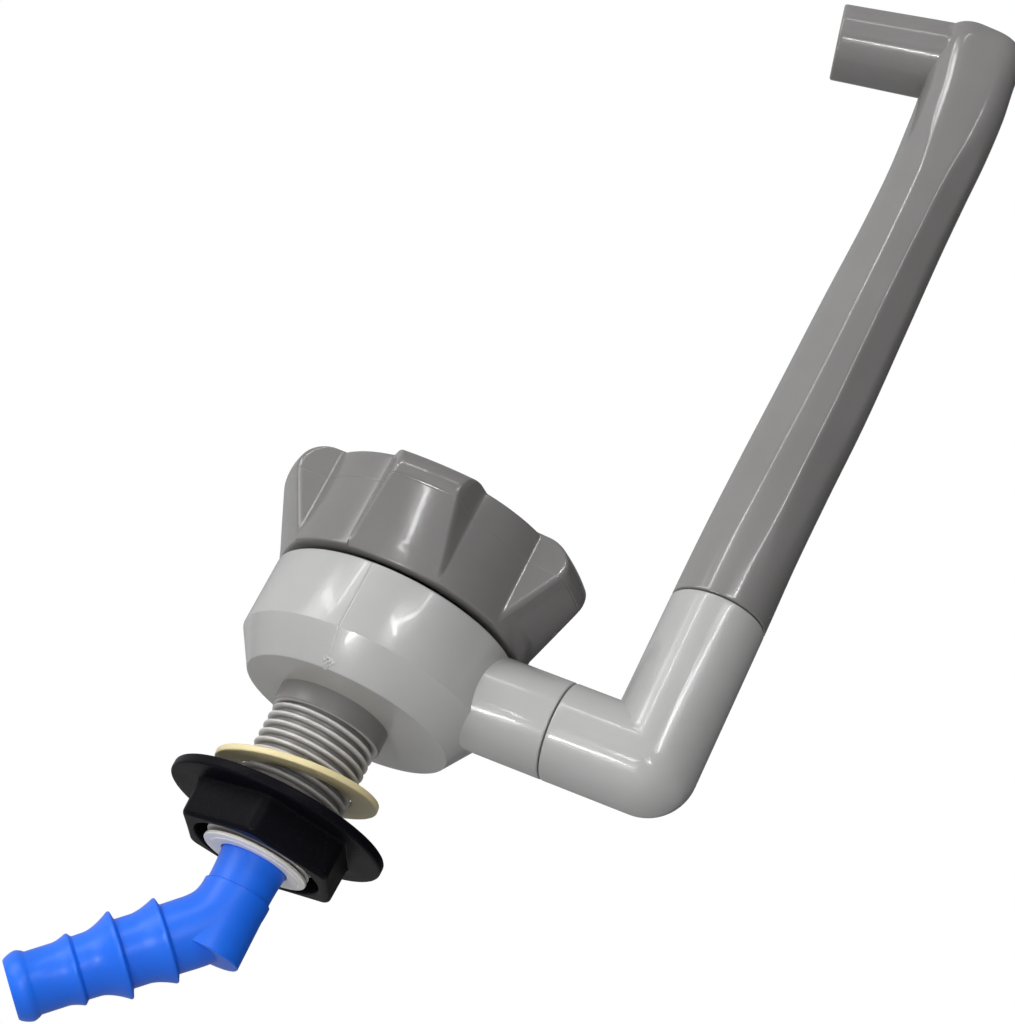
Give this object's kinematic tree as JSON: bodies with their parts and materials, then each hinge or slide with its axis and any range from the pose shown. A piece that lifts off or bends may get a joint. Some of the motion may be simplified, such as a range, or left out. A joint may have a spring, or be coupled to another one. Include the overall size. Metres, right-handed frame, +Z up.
{
  "type": "folding water tap",
  "caption": "Deck-mounted tap with a five-pad rotary knob on a round body, a side boss with a folding elbow, a swivelling spout, a threaded tail with nut and washer, and a barbed hose elbow.",
  "frame": {"origin": "the threaded tail's axis at the seat face, where the body rests on the worktop", "axes": "+Z up out of the worktop along the tail's axis, +X from the tail towards the outlet boss"},
  "size_m": [0.0983, 0.0617, 0.2664],
  "materials": {
    "light_plastic": "moulded light grey, glossy",
    "dark_plastic": "moulded warm dark grey, glossy",
    "tail_plastic": "moulded mid grey, satin",
    "ring_plastic": "moulded pale grey, satin",
    "ivory_plastic": "cut cream sheet, matte",
    "black_plastic": "moulded black, satin",
    "blue_plastic": "moulded bright blue, satin gloss",
    "white_plastic": "moulded white, hidden",
    "seal_rubber": "black seal rubber",
    "clip_steel": "stainless steel",
    "spindle_brass": "turned brass"
  },
  "bodies": {
    "body": {"body": "light_plastic", "threaded_tail": "tail_plastic", "bonnet": "white_plastic", "bonnet_oring": "seal_rubber", "retaining_ring": "ring_plastic"},
    "knob": {"knob": "dark_plastic", "knob_screw": "clip_steel", "knob_cap": "dark_plastic", "spindle": "spindle_brass", "spindle_oring": "seal_rubber", "spindle_clip": "clip_steel"},
    "plunger": {"plunger": "white_plastic", "seat_washer": "seal_rubber", "washer_screw": "clip_steel"},
    "elbow": {"elbow": "light_plastic", "elbow_orings": "seal_rubber", "elbow_clip": "clip_steel"},
    "spout": {"spout": "dark_plastic", "spout_orings": "seal_rubber", "spout_clip": "clip_steel"},
    "nut": {"clamp_nut": "black_plastic"},
    "washer": {"clamp_washer": "ivory_plastic"},
    "hose": {"hose_elbow": "blue_plastic", "hose_orings": "seal_rubber"}
  },
  "joints": [
    {"name": "knob_turn", "type": "hinge", "parent": "body", "child": "knob", "pos_m": [0.0024, 0, 0.03], "axis": [0, 0, 1], "range_deg": [0, 270]},
    {"name": "plunger_lift", "type": "slide", "parent": "body", "child": "plunger", "axis": [0, 0, 1], "range_m": [0, 0.003]},
    {"name": "elbow_fold", "type": "hinge", "parent": "body", "child": "elbow", "pos_m": [0.0405, 0, 0.0122], "axis": [1, 0, 0], "range_deg": [-90, 90]},
    {"name": "spout_swivel", "type": "hinge", "parent": "elbow", "child": "spout", "pos_m": [0.0581, 0, 0.0446], "axis": [0, 0, 1], "continuous": true},
    {"name": "nut_travel", "type": "slide", "parent": "body", "child": "nut", "axis": [0, 0, 1], "range_m": [0, 0.0065]},
    {"name": "washer_travel", "type": "slide", "parent": "body", "child": "washer", "axis": [0, 0, 1], "range_m": [0, 0.0065]},
    {"name": "hose_swivel", "type": "hinge", "parent": "body", "child": "hose", "pos_m": [0, 0, -0.0444], "axis": [0, 0, 1], "continuous": true}
  ],
  "couplings": [
    {"joint": "plunger_lift", "follows": "knob_turn", "m_per_rad": 0.0006366},
    {"joint": "washer_travel", "follows": "nut_travel", "ratio": 1}
  ]
}
